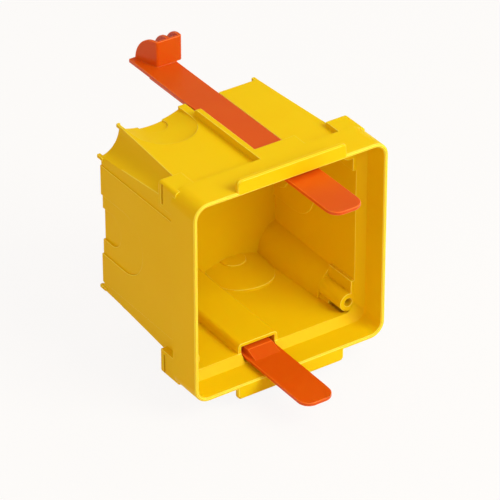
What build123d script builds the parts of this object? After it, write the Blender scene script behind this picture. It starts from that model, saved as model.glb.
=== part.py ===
from build123d import *
import os

os.makedirs("parts", exist_ok=True)

# Frame: X to the right, Y to the rear, Z up, on the depth axis of the box.
# The origin is the middle of the screw bosses, on the plane of their front faces.
# Depths below are counted from the front rim.

# Front collar
COLLAR_W = 75.0
COLLAR_DEPTH = 13.5
COLLAR_R = 5.5
COLLAR_WALL = 1.4
RIM_BREAK = 0.4

# Tabs that rest on the face of the board
TAB_W = 42.0
TAB_H = 4.2
TAB_T = 1.6
TAB_R = 1.6

# Body behind the collar, set in from it on all sides
BODY_INSET = 2.7
BODY_DEPTH = 60.0
BODY_R = 1.2
WALL = 1.4
REAR_WALL = 1.6
SHOULDER_RUN = 2.6

# Coves along the four corners, wider at the rear, and the columns that they make inside
COVE_X_REAR = 7.6
COVE_Z_REAR = 9.0
COVE_X_FRONT = 5.4
COVE_Z_FRONT = 6.0
COLUMN_Z = 13.4
COLUMN_SET = 3.1

# Pads at the front ends of the coves
PAD_DEPTH = 8.4
PAD_INSET = 0.8
PAD_R = 1.4
PAD_MARGIN = 1.4
SLIT_W = 1.1

# Screw bosses behind the shoulder
BOSS_FROM_SIDE = 3.6
BOSS_FROM_FLOOR = 5.5
BOSS_R = 3.3
SCREW_HOLE_R = 1.5
SCREW_HOLE_L = 8.0
WEB_T = 1.2

# Steps along the side walls and feet at the rear
FLANK_Z = 22.6
FLANK_STEP = 0.45
FOOT_W = 1.3
FOOT_LEN = 1.8

# Pull strap
STRAP_X = 5.1
STRAP_W = 12.4
STRAP_T = 1.3
STRAP_LIFT = 0.25
STRAP_TIP = 24.0
TIP_R = 4.2
RAIL_W = 9.8
RAIL_H = 1.9
RAIL_RAMP = 4.6
RAIL_START = 6.2

# Clamp head on the strap
HEAD_W = 10.0
HEAD_H = 9.4
HEAD_LEN = 9.5
HEAD_FLAT = 2.0
HEAD_FLARE = 2.8
HEAD_ROUND = 1.0
HEAD_OVERHANG = 2.2
HEAD_GAP = 24.5
HEAD_PLATE = 1.1
FIN_T = 1.1
HEAD_HEEL = 1.0

# Trough for the strap in the top and bottom walls
SIDE_PLAY = 0.35
ROOF_PLAY = 0.9
BRIDGE_PLAY = 0.8
HUMP_WALL = 1.2
HUMP_R = 1.5
BRIDGE_LEN = 6.0
BRIDGE_RIGHT = 2.4
RIB_T = 1.95
RIB_END = 8.0

# Knock-out panels in the side walls
SIDE_KO_HALF = 11.4
SIDE_KO_APEX = 25.0
SIDE_KO_STEP = 0.6
SIDE_KO_HALF_2 = 6.0
SIDE_KO_APEX_2 = 11.0
SIDE_KO_STEP_2 = 0.8

# Knock-out panels in the top and bottom walls, which dip towards the rear edge
SCOOP_FROM_COVE = 0.8
SCOOP_HALF = 11.0
SCOOP_LEN = 19.5
SCOOP_STEP = 0.9
SCOOP_DROP = 3.1
SCOOP_SAG = 2.0
SCOOP_HALF_2 = 4.6
SCOOP_LEN_2 = 7.0
SCOOP_STEP_2 = 0.5

# Sizes that follow from the ones above
COLLAR_IN = COLLAR_W / 2 - COLLAR_WALL
BODY_HALF = COLLAR_W / 2 - BODY_INSET
BODY_IN = BODY_HALF - WALL
SHOULDER_D = COLLAR_DEPTH - WALL
REAR_IN = BODY_DEPTH - REAR_WALL
PAD_REAR = COLLAR_DEPTH + PAD_DEPTH
PAD_HALF = COLLAR_W / 2 - PAD_INSET
COLUMN_D = PAD_REAR + COLUMN_SET
LEAN_X = (COVE_X_REAR - COVE_X_FRONT) / (BODY_DEPTH - PAD_REAR)
LEAN_Z = (COVE_Z_REAR - COVE_Z_FRONT) / (BODY_DEPTH - PAD_REAR)
SCOOP_X = COVE_X_REAR + SCOOP_FROM_COVE + SCOOP_HALF - BODY_HALF
SCOOP_R = (SCOOP_HALF ** 2 + SCOOP_SAG ** 2) / (2 * SCOOP_SAG)
BOSS_X = BODY_HALF - BOSS_FROM_SIDE
BOSS_Z = BODY_HALF - BOSS_FROM_FLOOR
STRAP_OUT = BODY_HALF + STRAP_LIFT
STRAP_IN = STRAP_OUT - STRAP_T
RAIL_IN = STRAP_IN - RAIL_H
TROUGH_HALF = STRAP_W / 2 + SIDE_PLAY
TROUGH_IN = RAIL_IN - ROOF_PLAY
BRIDGE_UNDER = STRAP_OUT + BRIDGE_PLAY
BRIDGE_REAR = COLLAR_DEPTH + BRIDGE_LEN
HEAD_D = BODY_DEPTH + HEAD_GAP
HEAD_X1 = STRAP_X + STRAP_W / 2 + HEAD_OVERHANG
HEAD_X0 = HEAD_X1 - HEAD_W
CORNERS = [(1, 1), (1, -1), (-1, 1), (-1, -1)]

# Reach of cuts that go right through, and how far others run past the face that they open
BIG = 4 * COLLAR_W
PAST = 1.0


def section(depth):
    """X-Z plane at a depth behind the rim, with Z up."""
    return Plane(origin=(0, depth - SHOULDER_D, 0), x_dir=(1, 0, 0), z_dir=(0, -1, 0))


def prism(sketch, d0, d1):
    """Solid between two depths from one X-Z sketch."""
    return extrude(section(d1) * sketch, d1 - d0)


def block(x0, x1, d0, d1, z0, z1):
    """Box given by its limits, with depths for Y."""
    centre = Pos((x0 + x1) / 2, (d0 + d1) / 2 - SHOULDER_D, (z0 + z1) / 2)
    return centre * Box(x1 - x0, d1 - d0, z1 - z0)


def both(shape):
    """A shape and its copy half a turn round the depth axis."""
    return shape + Rot(0, 180, 0) * shape


def square(half, radius):
    """Rounded square centred on the depth axis."""
    return RectangleRounded(2 * half, 2 * half, radius)


def corner_bar(sx, sz, width, height, lean_z, d0, d1):
    """Elliptic bar along one corner that leans outwards towards the front."""
    x = BODY_HALF + LEAN_X * (BODY_DEPTH - d1)
    z = BODY_HALF + lean_z * (BODY_DEPTH - d1)
    face = (section(d1) * Pos(sx * x, sz * z) * Ellipse(width, height)).face()
    run = d1 - d0
    return Solid.extrude(face, Vector(sx * LEAN_X * run, -run, sz * lean_z * run))


def cove(sx, sz):
    """Hollow outside one corner."""
    return corner_bar(sx, sz, COVE_X_REAR, COVE_Z_REAR, LEAN_Z, PAD_REAR, BODY_DEPTH + PAST)


def column(sx, sz):
    """Inner form of one corner: the wall round the cove, and a deeper column further back."""
    width = COVE_X_REAR + WALL
    height = COVE_Z_REAR + WALL
    wall = corner_bar(sx, sz, width, height, LEAN_Z, PAD_REAR - WALL, BODY_DEPTH)
    return wall + corner_bar(sx, sz, width, COLUMN_Z, 0, COLUMN_D, BODY_DEPTH)


def slit(sx, sz):
    """Narrow slit in the side of one corner pad."""
    x = sorted((sx * (PAD_HALF - WALL - SLIT_W / 2), sx * BIG))
    z = sorted((sz * (BODY_HALF - COVE_Z_FRONT), sz * (PAD_HALF - WALL / 2)))
    rear = PAD_REAR - WALL
    return block(*x, rear - SLIT_W, rear, *z)


def boss(sx, sz):
    """Tube for one screw, and the web that ties it to the side wall."""
    tube = prism(Pos(sx * BOSS_X, sz * BOSS_Z) * Circle(BOSS_R), SHOULDER_D, COLUMN_D)
    x = sorted((sx * (BODY_IN - WEB_T), sx * BODY_IN))
    z = sorted((sz * (BODY_HALF - COLUMN_Z), sz * BOSS_Z))
    return tube + block(*x, SHOULDER_D, COLUMN_D, *z)


def corner_pads(half, radius, d0, d1, inset):
    """Rounded corner pieces of a square that enclose the screw bosses."""
    x0 = BODY_HALF - COVE_X_FRONT - PAD_MARGIN + inset
    z0 = BODY_HALF - COVE_Z_FRONT - PAD_MARGIN + inset
    ring = prism(square(half, radius), d0, d1)
    quarters = Part()
    for sx, sz in CORNERS:
        x = sorted((sx * x0, sx * BIG))
        z = sorted((sz * z0, sz * BIG))
        quarters += block(*x, d0, d1, *z)
    return ring & quarters


def u_panel(half, apex, x0, x1, rear):
    """U-shaped slab that runs to the rear edge of the right wall."""
    front = BODY_DEPTH - apex + half
    disc = Pos((x0 + x1) / 2, front - SHOULDER_D, 0) * Rot(0, 90, 0) * Cylinder(half, x1 - x0)
    return disc + block(x0, x1, front, rear, -half, half)


def top_panel(half, length, z0, z1, rear):
    """The same slab in the top wall, over the scoop."""
    return Pos(SCOOP_X, 0, 0) * Rot(0, -90, 0) * u_panel(half, length, z0, z1, rear)


def dip(sink):
    """Cylinder that lies in the top wall and dips towards its rear edge, sunk by a distance."""
    top = BODY_HALF + SCOOP_R - sink
    front = Vector(SCOOP_X, BODY_DEPTH - SCOOP_LEN - SHOULDER_D, top - SCOOP_STEP)
    rear = Vector(SCOOP_X, BODY_DEPTH - SHOULDER_D, top - SCOOP_DROP)
    axis = Plane(origin=(front + rear) * 0.5, x_dir=(1, 0, 0), z_dir=rear - front)
    return axis * Cylinder(SCOOP_R, 3 * SCOOP_LEN)


def scoop(wall, rear):
    """Knock-out panel of the top wall in two steps, sunk by a wall thickness."""
    floor = BODY_HALF / 2
    ceiling = BODY_HALF + SCOOP_DROP
    panel = top_panel(SCOOP_HALF, SCOOP_LEN, floor, ceiling, rear) & dip(wall)
    return panel + (top_panel(SCOOP_HALF_2, SCOOP_LEN_2, floor, ceiling, rear) & dip(wall + SCOOP_STEP_2))


def trough():
    """Channel for the upper strap, closed over by the bridge at its front."""
    x0 = STRAP_X - TROUGH_HALF
    x1 = STRAP_X + TROUGH_HALF
    tunnel = block(x0, x1, SHOULDER_D - 2 * SHOULDER_RUN, BODY_DEPTH + PAST, TROUGH_IN, BRIDGE_UNDER)
    open_top = block(x0, x1, BRIDGE_REAR, BODY_DEPTH + PAST, TROUGH_IN, BODY_HALF + COLLAR_W)
    return tunnel + open_top


def hump():
    """Inner cover of the upper trough."""
    half = TROUGH_HALF + HUMP_WALL
    rise = BODY_IN - (TROUGH_IN - HUMP_WALL)
    sketch = Pos(STRAP_X, BODY_IN) * RectangleRounded(2 * half, 2 * rise, HUMP_R)
    return prism(sketch, SHOULDER_D, BODY_DEPTH)


def outer_form():
    """Outside of the box before anything is hollowed out."""
    form = prism(square(COLLAR_W / 2, COLLAR_R), 0, COLLAR_DEPTH)
    form = chamfer(form.faces().sort_by(Axis.Y)[0].edges(), RIM_BREAK)
    form += prism(square(BODY_HALF, BODY_R), SHOULDER_D, BODY_DEPTH)
    for sx, sz in CORNERS:
        form -= cove(sx, sz)
    form -= flanks()
    form += corner_pads(PAD_HALF, PAD_R, SHOULDER_D, PAD_REAR, 0)
    tab = Pos(0, COLLAR_W / 2) * RectangleRounded(TAB_W, 2 * TAB_H, TAB_R)
    tab = prism(tab, 0, TAB_T)
    tab = chamfer(tab.faces().sort_by(Axis.Y)[0].edges(), RIM_BREAK)
    form += both(tab)
    x0 = STRAP_X - TROUGH_HALF
    x1 = STRAP_X + TROUGH_HALF
    bridge = block(x0 - RIB_T, x1 + BRIDGE_RIGHT, SHOULDER_D, BRIDGE_REAR, BODY_IN, COLLAR_W / 2)
    rib = block(x0 - RIB_T, x0, BRIDGE_REAR - PAST, BODY_DEPTH - RIB_END, BODY_IN, COLLAR_W / 2)
    rib = fillet(rib.edges().filter_by(Axis.X).group_by(Axis.Z)[-1].sort_by(Axis.Y)[-1], RIB_T)
    form += both(bridge + rib)
    return form + feet()


def flanks():
    """Shallow steps along the side walls, between their middle and the coves."""
    steps = Part()
    for sx, sz in CORNERS:
        x = sorted((sx * (BODY_HALF - FLANK_STEP), sx * BIG))
        z = sorted((sz * FLANK_Z, sz * BIG))
        steps += block(*x, COLLAR_DEPTH, BODY_DEPTH + PAST, *z)
    return steps


def feet():
    """Small feet at the rear ends of the cove edges."""
    pins = Part()
    for sx, sz in CORNERS:
        flank = (BODY_HALF - FOOT_W / 2, BODY_HALF - COVE_Z_REAR - FOOT_W / 2)
        crown = (BODY_HALF - COVE_X_REAR - FOOT_W / 2, BODY_HALF - FOOT_W / 2)
        for x, z in (flank, crown):
            pins += block(sx * x - FOOT_W / 2, sx * x + FOOT_W / 2, REAR_IN, BODY_DEPTH + FOOT_LEN,
                          sz * z - FOOT_W / 2, sz * z + FOOT_W / 2)
    return pins


def cavity():
    """Free space inside the box."""
    mouth = prism(square(COLLAR_IN, COLLAR_R - COLLAR_WALL), -PAST, SHOULDER_D - SHOULDER_RUN)
    mouth += loft([
        section(0) * square(COLLAR_IN + RIM_BREAK, COLLAR_R - COLLAR_WALL + RIM_BREAK),
        section(RIM_BREAK) * square(COLLAR_IN, COLLAR_R - COLLAR_WALL),
    ])
    slope = loft([
        section(SHOULDER_D - SHOULDER_RUN) * square(COLLAR_IN, COLLAR_R - COLLAR_WALL),
        section(SHOULDER_D) * square(BODY_IN, COLLAR_R - COLLAR_WALL),
    ])
    room = prism(square(BODY_IN, BODY_R), SHOULDER_D, REAR_IN)
    for sx, sz in CORNERS:
        room -= column(sx, sz)
    room += corner_pads(PAD_HALF - WALL, PAD_R, COLLAR_DEPTH, PAD_REAR - WALL, WALL)
    for sx, sz in CORNERS:
        room -= boss(sx, sz)
    room -= both(hump())
    room -= both(scoop(WALL, BODY_DEPTH))
    room -= both(u_panel(SIDE_KO_HALF, SIDE_KO_APEX, BODY_IN - SIDE_KO_STEP, BODY_HALF, BODY_DEPTH))
    room -= both(u_panel(SIDE_KO_HALF_2, SIDE_KO_APEX_2, BODY_IN - SIDE_KO_STEP - SIDE_KO_STEP_2,
                         BODY_HALF, BODY_DEPTH))
    return mouth + slope + room


def wall_box():
    """The moulded box."""
    box = outer_form() - cavity()
    box -= both(trough())
    box -= both(scoop(0, BODY_DEPTH + PAST))
    box -= both(u_panel(SIDE_KO_HALF, SIDE_KO_APEX, BODY_HALF - SIDE_KO_STEP, BIG, BODY_DEPTH + PAST))
    box -= both(u_panel(SIDE_KO_HALF_2, SIDE_KO_APEX_2, BODY_HALF - SIDE_KO_STEP - SIDE_KO_STEP_2,
                        BIG, BODY_DEPTH + PAST))
    for sx, sz in CORNERS:
        spot = Pos(sx * BOSS_X, sz * BOSS_Z)
        box -= prism(spot * Circle(SCREW_HOLE_R), SHOULDER_D - PAST, SHOULDER_D + SCREW_HOLE_L)
        box -= slit(sx, sz)
    return box


def strap():
    """The upper pull strap with its clamp head."""
    rear = HEAD_D + HEAD_LEN + HEAD_HEEL
    x0 = STRAP_X - STRAP_W / 2
    x1 = STRAP_X + STRAP_W / 2
    y0 = -STRAP_TIP - SHOULDER_D
    outline = Polyline((x0, y0), (x1, y0), (x1, rear - SHOULDER_D), (x0, rear - SHOULDER_D), close=True)
    face = make_face(outline)
    face = fillet(face.vertices().group_by(Axis.Y)[0], TIP_R)
    plate = extrude(Plane.XY.offset(STRAP_IN) * face, STRAP_T)
    top = STRAP_IN + STRAP_T / 2
    foot = RAIL_START - SHOULDER_D
    end = HEAD_D - SHOULDER_D
    rail = make_face(Polyline(
        (foot, STRAP_IN), (foot + RAIL_RAMP, RAIL_IN), (end, RAIL_IN), (end, top), (foot, top), close=True))
    rail = Pos(STRAP_X, 0, 0) * extrude(Plane.YZ * rail, RAIL_W / 2, both=True)
    return plate + rail + clamp_head()


def pocket(x0, lean, x1):
    """Plan of a pocket between two fins, the left one of which may lean outwards."""
    end = HEAD_LEN + PAST
    return make_face(Polyline(
        (x0 - lean * HEAD_PLATE, HEAD_PLATE), (x1, HEAD_PLATE), (x1, end), (x0 - lean * end, end), close=True))


def clamp_head():
    """Front plate with three fins behind it, rounded off towards the rear."""
    plan = make_face(Polyline(
        (HEAD_X0, 0), (HEAD_X1, 0), (HEAD_X1, HEAD_LEN), (HEAD_X0 - HEAD_FLARE, HEAD_LEN), close=True))
    plan = fillet(plan.vertices().group_by(Axis.Y)[0], HEAD_ROUND)
    curve = HEAD_LEN - HEAD_FLAT
    quarter = Pos(curve, HEAD_H) * Rectangle(2 * curve, 2 * HEAD_H)
    side = Pos(HEAD_FLAT, 0) * (Ellipse(curve, HEAD_H) & quarter)
    side += Pos(HEAD_FLAT / 2, HEAD_H / 2) * Rectangle(HEAD_FLAT, HEAD_H)
    body = extrude(plan, HEAD_H) & extrude(Plane.YZ * side, BIG, both=True)
    middle = (HEAD_X0 + HEAD_X1) / 2
    pockets = pocket(HEAD_X0 + FIN_T, HEAD_FLARE / HEAD_LEN, middle - FIN_T / 2)
    pockets += pocket(middle + FIN_T / 2, 0, HEAD_X1 - FIN_T)
    body -= extrude(Plane.XY.offset(FIN_T / 2) * pockets, BIG)
    return Pos(0, HEAD_D - SHOULDER_D, STRAP_OUT) * body


box = wall_box()
upper = strap()
lower = Rot(0, 180, 0) * upper

export_step(box, "parts/wall_box.step")
export_step(upper, "parts/upper_strap.step")
export_step(lower, "parts/lower_strap.step")
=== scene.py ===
import math
from itertools import combinations

import bmesh
import bpy
from bpy.props import FloatProperty, FloatVectorProperty, PointerProperty
from mathutils import Matrix, Vector
from mathutils.geometry import intersect_line_line_2d


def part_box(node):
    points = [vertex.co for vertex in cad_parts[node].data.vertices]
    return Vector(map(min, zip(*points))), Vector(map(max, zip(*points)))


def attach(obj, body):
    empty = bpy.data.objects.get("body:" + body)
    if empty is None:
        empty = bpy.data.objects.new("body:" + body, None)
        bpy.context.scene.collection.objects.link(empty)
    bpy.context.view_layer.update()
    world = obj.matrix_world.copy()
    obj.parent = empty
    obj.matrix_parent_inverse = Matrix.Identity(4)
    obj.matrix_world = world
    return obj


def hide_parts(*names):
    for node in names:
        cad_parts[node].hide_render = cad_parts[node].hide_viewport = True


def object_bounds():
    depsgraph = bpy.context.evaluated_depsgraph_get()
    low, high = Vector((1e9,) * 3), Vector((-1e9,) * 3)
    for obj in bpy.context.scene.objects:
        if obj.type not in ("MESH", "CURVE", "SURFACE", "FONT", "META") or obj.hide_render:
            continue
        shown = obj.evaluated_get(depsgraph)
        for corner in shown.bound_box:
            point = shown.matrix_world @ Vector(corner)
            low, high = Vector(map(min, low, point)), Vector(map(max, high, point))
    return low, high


bl_info = {
    "name": "Cavity Wall Box",
    "version": (1, 0, 0),
    "blender": (4, 5, 0),
    "location": "3D View > Sidebar > Wall Box",
    "description": "Dresses the moulded wall box and its pull straps and sets up the studio",
    "category": "Object",
}

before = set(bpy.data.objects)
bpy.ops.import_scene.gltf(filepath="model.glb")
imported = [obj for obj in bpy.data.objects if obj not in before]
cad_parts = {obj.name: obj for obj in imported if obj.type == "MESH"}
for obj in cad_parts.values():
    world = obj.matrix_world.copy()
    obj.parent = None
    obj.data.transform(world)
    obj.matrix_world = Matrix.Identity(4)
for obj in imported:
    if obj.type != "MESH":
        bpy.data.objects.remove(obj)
CAD_LOW, CAD_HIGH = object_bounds()

# Points closer than this are one point
WELD = 1e-6

# Turns between faces: within a flat face, within a curved surface, and from a rounding to its plain face
FLAT = math.radians(0.4)
CREASE = math.radians(14)
ROUND_TURN = math.radians(50)

# Least turn of an edge that leaves another sideways, and the share of its length that a rounding may take
SIDEWAYS = math.radians(30)
ROOM_SHARE = 0.4

# Least share of the full rounding that is made at all, and the steps that a rounding has
LEAST_ROUND = 0.15
ROUND_STEPS = 2

# What stays of the rounding where outlines cross, how many roundings wide such a place is, and the tries made
TIGHT_SHARE = 0.45
TIGHT_REACH = 6
TRIES = 6

# Most sides of a face whose outline can't cross itself
PLAIN_SIDES = 4

# Marks of plain faces and of roundings, and the attribute that shows the material the convex roundings, which
# it paints paler as a painted highlight
PLAIN, ROUNDED = 0, 1
PAINTED_HIGHLIGHT_MASK = "rounding"

# What the two plastics share
PLASTIC_IOR = 1.5
SCATTER_DEPTH = 0.0012
ROUGHNESS_SPREAD = 0.05
GRAIN_STRENGTH = 0.25
CLOUD_SIZE = 0.02

# Sensor of the camera in millimetres, and the plane of the front rim, which it looks at
SENSOR = 36.0
RIM_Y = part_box("wall_box")[0].y

# Place, width and colour of each lamp
WHITE = (1.0, 1.0, 1.0)
LAMPS = {
    "key": ((0.32, -0.65, 0.58), 0.6, (0.89, 1.0, 0.98)),
    "fill": ((-0.58, -0.55, 0.48), 0.6, (1.0, 0.82, 0.6)),
    "top": ((0.45, 0.14, 0.83), 0.2, WHITE),
}

# Heights in the room between which it fades from white to its ceiling
WHITE_BELOW = math.radians(6)
DARK_ABOVE = math.radians(20)

# Half the width of the floor, and its drop below the lowest point of the object
FLOOR_HALF = 3.0
FLOOR_DROP = 0.001


class BoxFinish(bpy.types.PropertyGroup):
    """Finish of the yellow moulding."""

    colour: FloatVectorProperty(
        name="Yellow", description="Colour of the box plastic", subtype="COLOR",
        size=3, min=0.0, max=1.0, default=(0.90, 0.64, 0.004))
    deep: FloatVectorProperty(
        name="Deep yellow", description="Colour where the plastic is cloudy", subtype="COLOR",
        size=3, min=0.0, max=1.0, default=(0.88, 0.60, 0.003))
    # Painted highlight: a paler colour painted on the convex rounded edges, where light would catch them
    painted_highlight: FloatVectorProperty(
        name="Pale yellow", description="Colour along the rounded edges", subtype="COLOR",
        size=3, min=0.0, max=1.0, default=(1.0, 0.82, 0.09))
    edge_round: FloatProperty(
        name="Edge rounding", description="Width of the rounding on the moulded edges",
        unit="LENGTH", subtype="DISTANCE", precision=5, default=0.0002)
    grain_size: FloatProperty(
        name="Grain size", description="Width of the grain of the moulded surface",
        unit="LENGTH", subtype="DISTANCE", precision=5, default=0.0006)
    grain_depth: FloatProperty(
        name="Grain depth", description="Height of the grain of the moulded surface",
        unit="LENGTH", subtype="DISTANCE", precision=6, default=0.00004)
    roughness: FloatProperty(
        name="Roughness", description="Mean roughness of the surface", subtype="FACTOR",
        min=0.1, max=0.9, default=0.46)
    gloss: FloatProperty(
        name="Gloss", description="Strength of the reflection", subtype="FACTOR",
        min=0.0, max=1.0, default=0.07)
    translucency: FloatProperty(
        name="Translucency", description="Share of the light that spreads inside the wall",
        subtype="FACTOR", min=0.0, max=1.0, default=0.35)
    reach: FloatVectorProperty(
        name="Reach", description="How far red, green and blue spread inside the wall",
        size=3, default=(1.0, 0.5, 0.03))


class StrapFinish(bpy.types.PropertyGroup):
    """Finish of the two orange straps."""

    colour: FloatVectorProperty(
        name="Orange", description="Colour of the strap plastic", subtype="COLOR",
        size=3, min=0.0, max=1.0, default=(0.77, 0.115, 0.003))
    deep: FloatVectorProperty(
        name="Deep orange", description="Colour where the plastic is cloudy", subtype="COLOR",
        size=3, min=0.0, max=1.0, default=(0.70, 0.09, 0.002))
    # Painted highlight: a paler colour painted on the convex rounded edges, where light would catch them
    painted_highlight: FloatVectorProperty(
        name="Pale orange", description="Colour along the rounded edges", subtype="COLOR",
        size=3, min=0.0, max=1.0, default=(0.88, 0.18, 0.02))
    edge_round: FloatProperty(
        name="Edge rounding", description="Width of the rounding on the strap's edges",
        unit="LENGTH", subtype="DISTANCE", precision=5, default=0.00025)
    grain_size: FloatProperty(
        name="Grain size", description="Width of the grain of the moulded surface",
        unit="LENGTH", subtype="DISTANCE", precision=5, default=0.0005)
    grain_depth: FloatProperty(
        name="Grain depth", description="Height of the grain of the moulded surface",
        unit="LENGTH", subtype="DISTANCE", precision=6, default=0.00003)
    roughness: FloatProperty(
        name="Roughness", description="Mean roughness of the surface", subtype="FACTOR",
        min=0.1, max=0.9, default=0.36)
    gloss: FloatProperty(
        name="Gloss", description="Strength of the reflection", subtype="FACTOR",
        min=0.0, max=1.0, default=0.25)
    translucency: FloatProperty(
        name="Translucency", description="Share of the light that spreads inside the strap",
        subtype="FACTOR", min=0.0, max=1.0, default=0.35)
    reach: FloatVectorProperty(
        name="Reach", description="How far red, green and blue spread inside the strap",
        size=3, default=(1.0, 0.2, 0.02))


class Studio(bpy.types.PropertyGroup):
    """Camera, room, lamps and floor."""

    azimuth: FloatProperty(
        name="Azimuth", description="Camera angle round the box", unit="ROTATION",
        subtype="ANGLE", default=math.radians(-34.1))
    elevation: FloatProperty(
        name="Elevation", description="Camera angle above the horizon", unit="ROTATION",
        subtype="ANGLE", default=math.radians(32.58))
    distance: FloatProperty(
        name="Distance", description="From the camera to the middle of the rim",
        unit="LENGTH", subtype="DISTANCE", default=1.2)
    lens: FloatProperty(
        name="Lens", description="Focal length on a full-frame sensor", unit="CAMERA", default=268.5)
    offset_right: FloatProperty(
        name="Camera to the right", description="Sideways place of the camera", unit="LENGTH",
        subtype="DISTANCE", precision=5, default=-0.01362)
    offset_up: FloatProperty(
        name="Camera upwards", description="Upright place of the camera", unit="LENGTH",
        subtype="DISTANCE", precision=5, default=0.00757)
    sky: FloatProperty(
        name="Room light", description="Strength of the even light from all round", default=0.57)
    sky_colour: FloatVectorProperty(
        name="Room colour", description="Colour of the even light", subtype="COLOR",
        size=3, min=0.0, max=1.0, default=(1.0, 0.76, 0.6))
    ceiling: FloatProperty(
        name="Ceiling", description="Strength of the room overhead as gloss shows it", default=0.2)
    key: FloatProperty(
        name="Key lamp", description="Power of the large lamp in front", unit="POWER", default=6.3)
    fill: FloatProperty(
        name="Fill lamp", description="Power of the warm lamp on the left", unit="POWER", default=0.8)
    top: FloatProperty(
        name="Top lamp", description="Power of the small lamp overhead", unit="POWER", default=0.6)
    floor_colour: FloatVectorProperty(
        name="Floor colour", description="Colour of the floor as it lights the box", subtype="COLOR",
        size=3, min=0.0, max=1.0, default=(0.84, 0.72, 0.56))
    floor_white: FloatProperty(
        name="Floor white", description="How far the floor is lifted to white where it is seen",
        subtype="FACTOR", min=0.0, max=1.0, default=0.9)


def set_inputs(node, **values):
    """Sets input sockets of a node, named with underscores for spaces."""
    for name, value in values.items():
        node.inputs[name.replace("_", " ")].default_value = value


def new_node(tree, kind, **values):
    """A new node of a tree with some of its input sockets set."""
    node = tree.nodes.new(kind)
    set_inputs(node, **values)
    return node


def math_node(tree, operation, *terms):
    """Output of a sum on numbers and on outputs of other nodes."""
    node = tree.nodes.new("ShaderNodeMath")
    node.operation = operation
    for socket, term in zip(node.inputs, terms):
        if isinstance(term, bpy.types.NodeSocket):
            tree.links.new(term, socket)
        else:
            socket.default_value = term
    return node.outputs[0]


def colour_mix(tree, factor, first, second):
    """Colour that goes from the first, which may be another node's output, to the second."""
    mix = tree.nodes.new("ShaderNodeMix")
    mix.data_type = "RGBA"
    tree.links.new(factor, mix.inputs["Factor"])
    if isinstance(first, bpy.types.NodeSocket):
        tree.links.new(first, mix.inputs["A"])
    else:
        set_inputs(mix, A=(*first, 1.0))
    set_inputs(mix, B=(*second, 1.0))
    return mix.outputs["Result"]


def moulded_surface():
    """Shader group with the slow cloudiness and fine grain of moulded plastic, and the mask of the convex
    rounded edges that take a painted highlight.
    """
    group = bpy.data.node_groups.new("moulded_surface", "ShaderNodeTree")
    for name in ("Cloud size", "Grain size"):
        group.interface.new_socket(name, in_out="INPUT", socket_type="NodeSocketFloat")
    for name in ("Cloud", "Grain", "Edge"):
        group.interface.new_socket(name, in_out="OUTPUT", socket_type="NodeSocketFloat")
    inlet = group.nodes.new("NodeGroupInput")
    outlet = group.nodes.new("NodeGroupOutput")
    place = group.nodes.new("ShaderNodeTexCoord")
    for result, detail in (("Cloud", 2.0), ("Grain", 3.0)):
        noise = new_node(group, "ShaderNodeTexNoise", Detail=detail, Roughness=0.5)
        scale = math_node(group, "DIVIDE", 1.0, inlet.outputs[f"{result} size"])
        group.links.new(place.outputs["Object"], noise.inputs["Vector"])
        group.links.new(scale, noise.inputs["Scale"])
        group.links.new(noise.outputs["Fac"], outlet.inputs[result])
    # Mask of the convex roundings, which get the painted highlight
    rounding = group.nodes.new("ShaderNodeAttribute")
    rounding.attribute_name = PAINTED_HIGHLIGHT_MASK
    group.links.new(rounding.outputs["Fac"], outlet.inputs["Edge"])
    return group


def plastic(name, finish):
    """Satin plastic of one colour, deeper in places, with a painted highlight that makes it paler along its
    convex rounded edges, and with a fine grain.
    """
    material = bpy.data.materials.new(name)
    material.use_nodes = True
    tree = material.node_tree
    shader = tree.nodes["Principled BSDF"]
    set_inputs(
        shader, IOR=PLASTIC_IOR, Specular_IOR_Level=finish.gloss, Subsurface_Scale=SCATTER_DEPTH,
        Subsurface_Weight=finish.translucency, Subsurface_Radius=finish.reach)
    surface = tree.nodes.new("ShaderNodeGroup")
    surface.node_tree = bpy.data.node_groups.get("moulded_surface") or moulded_surface()
    set_inputs(surface, Cloud_size=CLOUD_SIZE, Grain_size=finish.grain_size)
    tone = colour_mix(tree, surface.outputs["Cloud"], finish.colour, finish.deep)
    # Painted highlight: the convex roundings get the paler colour
    colour = colour_mix(tree, surface.outputs["Edge"], tone, finish.painted_highlight)
    tree.links.new(colour, shader.inputs["Base Color"])
    smoothest = finish.roughness - ROUGHNESS_SPREAD
    roughest = finish.roughness + ROUGHNESS_SPREAD
    roughness = new_node(tree, "ShaderNodeMapRange", To_Min=smoothest, To_Max=roughest)
    tree.links.new(surface.outputs["Cloud"], roughness.inputs["Value"])
    tree.links.new(roughness.outputs["Result"], shader.inputs["Roughness"])
    bump = new_node(tree, "ShaderNodeBump", Strength=GRAIN_STRENGTH, Distance=finish.grain_depth)
    tree.links.new(surface.outputs["Grain"], bump.inputs["Height"])
    tree.links.new(bump.outputs["Normal"], shader.inputs["Normal"])
    return material


def loose_faces(shape):
    """Groups of triangles, one for each face of the solid."""
    left = set(shape.faces)
    while left:
        group = [left.pop()]
        for face in group:
            for edge in face.edges:
                near = left.intersection(edge.link_faces)
                group.extend(near)
                left -= near
        yield group


def keep_rings(shape):
    """Marks the inner edges of faces with holes in them, which stay in pieces."""
    for group in loose_faces(shape):
        edges = {edge for face in group for edge in face.edges}
        points = {point for face in group for point in face.verts}
        ring = len(points) - len(edges) + len(group) != 1
        for edge in edges:
            edge.seam = ring and not edge.is_boundary


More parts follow.
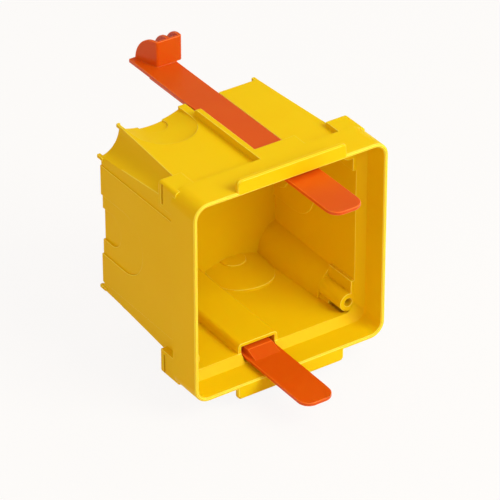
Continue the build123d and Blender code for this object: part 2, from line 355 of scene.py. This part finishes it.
def weld(shape):
    """Joins the loose faces of a solid and marks the creases between them as sharp."""
    keep_rings(shape)
    for edge in shape.edges:
        edge.smooth = not edge.is_boundary
    bmesh.ops.remove_doubles(shape, verts=shape.verts, dist=WELD)
    for edge in shape.edges:
        edge.smooth = edge.smooth or edge.calc_face_angle(0.0) < CREASE
    bmesh.ops.dissolve_limit(
        shape, angle_limit=FLAT, verts=shape.verts, edges=shape.edges, delimit={"SHARP", "SEAM"})


def room_beside(edge):
    """Length of the shortest edge that leaves the ends of an edge sideways."""
    along = edge.verts[1].co - edge.verts[0].co
    lengths = []
    for end in edge.verts:
        for other in end.link_edges:
            across = other.other_vert(end).co - end.co
            turn = along.angle(across, 0.0)
            if other is not edge and SIDEWAYS < turn < math.pi - SIDEWAYS:
                lengths.append(across.length)
    return min(lengths, default=0.0)


def lies_near(edge, spots, reach):
    """Whether an end of an edge lies near one of some places."""
    return any((end.co - spot).length < reach for end in edge.verts for spot in spots)


def weigh_edges(shape, finish, tight):
    """Gives each sharp edge a share of the rounding, less where there is little room."""
    weight = shape.edges.layers.float.new("bevel_weight_edge")
    reach = TIGHT_REACH * finish.edge_round
    for edge in shape.edges:
        if edge.smooth:
            continue
        share = min(1.0, ROOM_SHARE * room_beside(edge) / finish.edge_round)
        share *= TIGHT_SHARE ** sum(lies_near(edge, spots, reach) for spots in tight)
        if share > LEAST_ROUND:
            edge[weight] = share


def crossings(mesh):
    """Places where the outline of a face crosses itself."""
    places = []
    for face in mesh.polygons:
        if len(face.vertices) <= PLAIN_SIDES:
            continue
        across = face.normal.orthogonal().normalized()
        along = face.normal.cross(across)
        corners = [mesh.vertices[point].co for point in face.vertices]
        level = face.normal * corners[0].dot(face.normal)
        flat = [Vector((corner.dot(across), corner.dot(along))) for corner in corners]
        sides = list(zip(flat, flat[1:] + flat[:1]))
        for i, j in combinations(range(len(sides)), 2):
            apart = 1 < j - i < len(sides) - 1
            hit = intersect_line_line_2d(*sides[i], *sides[j]) if apart else None
            if hit:
                places.append(across * hit.x + along * hit.y + level)
    return places


def bake(piece):
    """Turns the modifiers of a piece into its mesh."""
    graph = bpy.context.evaluated_depsgraph_get()
    finished = bpy.data.meshes.new_from_object(piece.evaluated_get(graph))
    piece.modifiers.clear()
    piece.data = finished


def bevelled(node, name, finish, tight):
    """Copy of a solid with its sharp edges bevelled, less so in tight places."""
    shape = bmesh.new()
    shape.from_mesh(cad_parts[node].data)
    weld(shape)
    weigh_edges(shape, finish, tight)
    mesh = bpy.data.meshes.new(name)
    shape.to_mesh(mesh)
    shape.free()
    for mark in (PLAIN, ROUNDED):
        mesh.materials.append(None)
    piece = bpy.data.objects.new(name, mesh)
    bpy.context.scene.collection.objects.link(piece)
    edges = piece.modifiers.new("edges", "BEVEL")
    edges.width = finish.edge_round
    edges.segments = ROUND_STEPS
    edges.limit_method = "WEIGHT"
    edges.use_clamp_overlap = False
    edges.material = ROUNDED
    bake(piece)
    return piece


def mark_roundings(mesh):
    """Drops faces without area, and marks the roundings that stand out, which the material paints paler as a
    painted highlight.
    """
    shape = bmesh.new()
    shape.from_mesh(mesh)
    rounding = shape.faces.layers.float.new(PAINTED_HIGHLIGHT_MASK)
    bmesh.ops.dissolve_degenerate(shape, edges=shape.edges, dist=WELD)
    for face in shape.faces:
        stands_out = sum(edge.calc_face_angle_signed(0.0) for edge in face.edges) > 0
        face[rounding] = float(stands_out and face.material_index == ROUNDED)
    for edge in shape.edges:
        edge.smooth = True
    shape.to_mesh(mesh)
    shape.free()


def shaded_normal(face, around):
    """Normal of a face at a point, from the faces around it that belong to the same surface."""
    limit = CREASE if face.material_index == PLAIN else ROUND_TURN
    near = [other for other in around if face.normal.angle(other.normal, 0.0) < limit]
    plain = [other for other in near if other.material_index == PLAIN]
    return sum((other.normal * other.area for other in plain or near), Vector()).normalized()


def shade(mesh):
    """Shades each plain face by its plain neighbours, and the roundings from one to the next."""
    mesh.shade_smooth()
    around = [[] for point in mesh.vertices]
    for face in mesh.polygons:
        for point in face.vertices:
            around[point].append(face)
    mesh.normals_split_custom_set(
        [shaded_normal(face, around[point]) for face in mesh.polygons for point in face.vertices])


def rounded_copy(node, name, finish):
    """Copy of a solid's mesh with its sharp edges rounded, as a mould leaves them."""
    tight = []
    piece = bevelled(node, name, finish, tight)
    while (spots := crossings(piece.data)) and len(tight) < TRIES:
        tight.append(spots)
        bpy.data.objects.remove(piece)
        piece = bevelled(node, name, finish, tight)
    mark_roundings(piece.data)
    shade(piece.data)
    return piece


def dress(node, name, body, finish, material):
    """Puts a finished piece in the place of one solid."""
    piece = rounded_copy(node, name, finish)
    piece.data.materials.clear()
    piece.data.materials.append(material)
    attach(piece, body)
    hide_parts(node)


class WALLBOX_OT_box(bpy.types.Operator):
    """Makes the finished yellow box"""

    bl_idname = "wallbox.box"
    bl_label = "Make the box"

    def execute(self, context):
        finish = context.scene.wallbox_box
        material = plastic("yellow_plastic", finish)
        dress("wall_box", "box_moulding", "box", finish, material)
        return {"FINISHED"}


class WALLBOX_OT_straps(bpy.types.Operator):
    """Makes the two finished pull straps"""

    bl_idname = "wallbox.straps"
    bl_label = "Make the straps"

    def execute(self, context):
        finish = context.scene.wallbox_strap
        material = plastic("orange_plastic", finish)
        for side in ("upper", "lower"):
            dress(f"{side}_strap", f"{side}_pull_strap", side, finish, material)
        return {"FINISHED"}


def seen_directly(tree):
    """Value that is one for rays from the camera, from gloss and through clear things."""
    rays = tree.nodes.new("ShaderNodeLightPath").outputs
    seen = rays["Is Camera Ray"]
    for kind in ("Is Glossy Ray", "Is Transmission Ray"):
        seen = math_node(tree, "MAXIMUM", seen, rays[kind])
    return seen


def seen_room(tree, studio):
    """Strength of the room where it is seen: white round the horizon, darker overhead."""
    direction = tree.nodes.new("ShaderNodeTexCoord")
    parts = tree.nodes.new("ShaderNodeSeparateXYZ")
    fade = new_node(
        tree, "ShaderNodeMapRange", From_Min=math.sin(WHITE_BELOW), From_Max=math.sin(DARK_ABOVE),
        To_Min=1.0, To_Max=studio.ceiling)
    tree.links.new(direction.outputs["Generated"], parts.inputs["Vector"])
    tree.links.new(parts.outputs["Z"], fade.inputs["Value"])
    return fade.outputs["Result"]


def make_world(studio):
    """Even room light, white where it is seen behind the box."""
    world = bpy.data.worlds.new("room")
    bpy.context.scene.world = world
    world.use_nodes = True
    tree = world.node_tree
    background = tree.nodes["Background"]
    seen = seen_directly(tree)
    tree.links.new(colour_mix(tree, seen, studio.sky_colour, WHITE), background.inputs["Color"])
    strength = new_node(tree, "ShaderNodeMix", A=studio.sky)
    tree.links.new(seen, strength.inputs["Factor"])
    tree.links.new(seen_room(tree, studio), strength.inputs["B"])
    tree.links.new(strength.outputs["Result"], background.inputs["Strength"])


def floor_finish(studio):
    """Matt material that takes the shadow and is lifted to white where it is seen."""
    material = bpy.data.materials.new("floor_white")
    material.use_nodes = True
    tree = material.node_tree
    matt = tree.nodes["Principled BSDF"]
    set_inputs(matt, Base_Color=(*studio.floor_colour, 1.0), Roughness=0.9)
    white = tree.nodes.new("ShaderNodeEmission")
    mix = tree.nodes.new("ShaderNodeMixShader")
    tree.links.new(math_node(tree, "MULTIPLY", seen_directly(tree), studio.floor_white), mix.inputs["Fac"])
    tree.links.new(matt.outputs["BSDF"], mix.inputs[1])
    tree.links.new(white.outputs["Emission"], mix.inputs[2])
    tree.links.new(mix.outputs["Shader"], tree.nodes["Material Output"].inputs["Surface"])
    return material


def make_floor(studio):
    """Wide light-coloured floor under the box."""
    half, z = FLOOR_HALF, CAD_LOW.z - FLOOR_DROP
    mesh = bpy.data.meshes.new("floor")
    corners = [(-half, -half, z), (half, -half, z), (half, half, z), (-half, half, z)]
    mesh.from_pydata(corners, [], [(0, 1, 2, 3)])
    mesh.materials.append(floor_finish(studio))
    floor = bpy.data.objects.new("floor", mesh)
    bpy.context.scene.collection.objects.link(floor)


def make_lamp(name, place, size, colour, power):
    """Soft round lamp that shines on the middle of the object."""
    data = bpy.data.lights.new(name, "AREA")
    data.shape = "DISK"
    data.size = size
    data.color = colour
    data.energy = power
    lamp = bpy.data.objects.new(name, data)
    bpy.context.scene.collection.objects.link(lamp)
    towards = (CAD_LOW + CAD_HIGH) / 2 - Vector(place)
    lamp.location = place
    lamp.rotation_mode = "QUATERNION"
    lamp.rotation_quaternion = towards.to_track_quat("-Z", "Y")


def make_camera(studio):
    """Camera at the picture's angle."""
    a, e = studio.azimuth, studio.elevation
    back = Vector((math.sin(a) * math.cos(e), -math.cos(a) * math.cos(e), math.sin(e)))
    right = Vector((math.cos(a), math.sin(a), 0.0))
    up = back.cross(right)
    data = bpy.data.cameras.new("camera")
    data.sensor_width = SENSOR
    data.lens = studio.lens
    camera = bpy.data.objects.new("camera", data)
    bpy.context.scene.collection.objects.link(camera)
    turn = Matrix((right, up, back)).transposed().to_4x4()
    rim = Vector((0.0, RIM_Y, 0.0))
    place = rim + back * studio.distance + right * studio.offset_right + up * studio.offset_up
    camera.matrix_world = Matrix.Translation(place) @ turn
    bpy.context.scene.camera = camera


class WALLBOX_OT_stage(bpy.types.Operator):
    """Sets up the room, the floor, the lamps and the camera"""

    bl_idname = "wallbox.stage"
    bl_label = "Set the stage"

    def execute(self, context):
        studio = context.scene.wallbox_studio
        make_world(studio)
        make_floor(studio)
        for name, (place, size, colour) in LAMPS.items():
            make_lamp(name, place, size, colour, getattr(studio, name))
        make_camera(studio)
        context.scene.view_settings.view_transform = "Standard"
        return {"FINISHED"}


class WALLBOX_PT_panel(bpy.types.Panel):
    """Steps and settings of the wall box"""

    bl_label = "Wall Box"
    bl_idname = "WALLBOX_PT_panel"
    bl_space_type = "VIEW_3D"
    bl_region_type = "UI"
    bl_category = "Wall Box"

    def draw(self, context):
        for operator in OPERATORS:
            self.layout.operator(operator.bl_idname)
        for name in SETTINGS:
            settings = getattr(context.scene, name)
            box = self.layout.box()
            for key in settings.__annotations__:
                box.prop(settings, key)


OPERATORS = (WALLBOX_OT_box, WALLBOX_OT_straps, WALLBOX_OT_stage)
SETTINGS = {"wallbox_box": BoxFinish, "wallbox_strap": StrapFinish, "wallbox_studio": Studio}
CLASSES = (*SETTINGS.values(), *OPERATORS, WALLBOX_PT_panel)


def register():
    for cls in CLASSES:
        bpy.utils.register_class(cls)
    for name, cls in SETTINGS.items():
        setattr(bpy.types.Scene, name, PointerProperty(type=cls))


def unregister():
    for name in SETTINGS:
        delattr(bpy.types.Scene, name)
    for cls in reversed(CLASSES):
        bpy.utils.unregister_class(cls)


def main():
    register()
    bpy.ops.wallbox.box()
    bpy.ops.wallbox.straps()
    bpy.ops.wallbox.stage()


if __name__ == "__main__":
    main()
